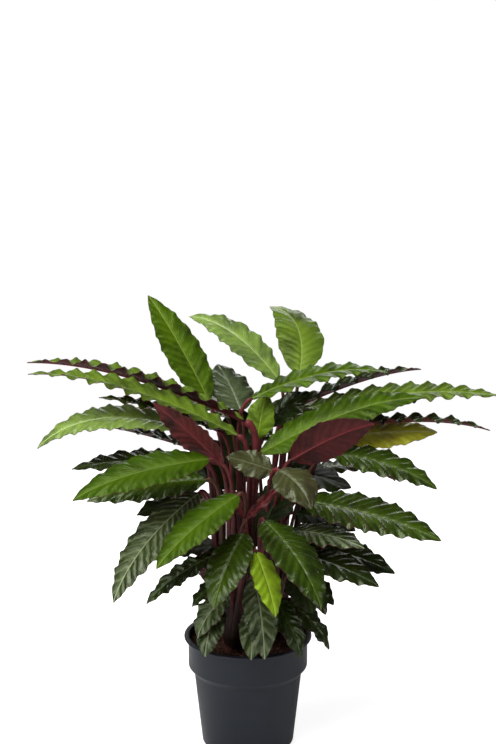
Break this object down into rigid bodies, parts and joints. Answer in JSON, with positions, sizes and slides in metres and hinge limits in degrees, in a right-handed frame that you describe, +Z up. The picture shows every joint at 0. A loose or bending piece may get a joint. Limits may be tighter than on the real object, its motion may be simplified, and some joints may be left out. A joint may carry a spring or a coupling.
{
  "type": "potted wavestar calathea",
  "caption": "Bushy tropical foliage plant with waved, glossy lance leaves, burgundy undersides and burgundy stalks, in a round plastic nursery pot.",
  "frame": {"origin": "centre of the pot's underside", "axes": "+Z up, the side shown in the picture faces -Y, +X is to the viewer's right"},
  "size_m": [0.6139, 0.443, 0.5889],
  "materials": {
    "pot": "satin",
    "soil": "rough",
    "stalk": "satin",
    "leaf_deep": "glossy",
    "leaf_green": "glossy",
    "leaf_bright": "glossy",
    "leaf_lime": "glossy",
    "leaf_olive": "satin"
  },
  "bodies": {
    "root": {"pot": "pot", "soil": "soil", "crown_front_left": "stalk", "crown_front_right": "stalk", "crown_left": "stalk", "crown_right": "stalk", "crown_back": "stalk", "leaf_top_left": "leaf_bright", "leaf_top_middle": "leaf_bright", "leaf_top_right": "leaf_bright", "leaf_top_inner": "leaf_deep", "leaf_right_arch": "leaf_bright", "leaf_right_back_high": "leaf_deep", "leaf_right_far_high": "leaf_green", "leaf_right_lance": "leaf_bright", "leaf_right_far_thin": "leaf_deep", "leaf_right_olive": "leaf_olive", "leaf_right_turned": "leaf_green", "leaf_right_mid_high": "leaf_green", "leaf_right_mid": "leaf_green", "leaf_right_low_front": "leaf_green", "leaf_right_low_back": "leaf_deep", "leaf_right_low": "leaf_deep", "leaf_front_big": "leaf_green", "leaf_front_inner_right": "leaf_deep", "leaf_front_lime": "leaf_lime", "leaf_front_left": "leaf_green", "leaf_front_low": "leaf_green", "leaf_front_low_right": "leaf_deep", "leaf_rim_right": "leaf_deep", "leaf_rim_left_back": "leaf_deep", "leaf_rim_left": "leaf_green", "leaf_rim_front_left": "leaf_green", "leaf_rim_front": "leaf_deep", "leaf_left_far_high": "leaf_bright", "leaf_left_far": "leaf_bright", "leaf_left_arch": "leaf_green", "leaf_left_broad": "leaf_bright", "leaf_left_thin": "leaf_deep", "leaf_left_turned": "leaf_green", "leaf_left_mid_back": "leaf_deep", "leaf_left_mid": "leaf_bright", "leaf_left_mid_low": "leaf_deep", "leaf_left_low": "leaf_green", "leaf_left_front": "leaf_bright", "leaf_left_low_thin": "leaf_deep", "leaf_young_left": "leaf_olive", "leaf_young_front": "leaf_olive", "leaf_young_lime": "leaf_lime", "leaf_inner_back": "leaf_deep", "leaf_back_left_high": "leaf_green", "leaf_back_high": "leaf_green", "leaf_back_right_high": "leaf_green", "leaf_back_left_mid": "leaf_deep", "leaf_back_right_mid": "leaf_deep", "leaf_back_left_low": "leaf_deep", "leaf_back_right_low": "leaf_deep", "leaf_back_left_top": "leaf_green", "leaf_back_right_top": "leaf_green", "leaf_back_low": "leaf_deep"}
  },
  "joints": []
}
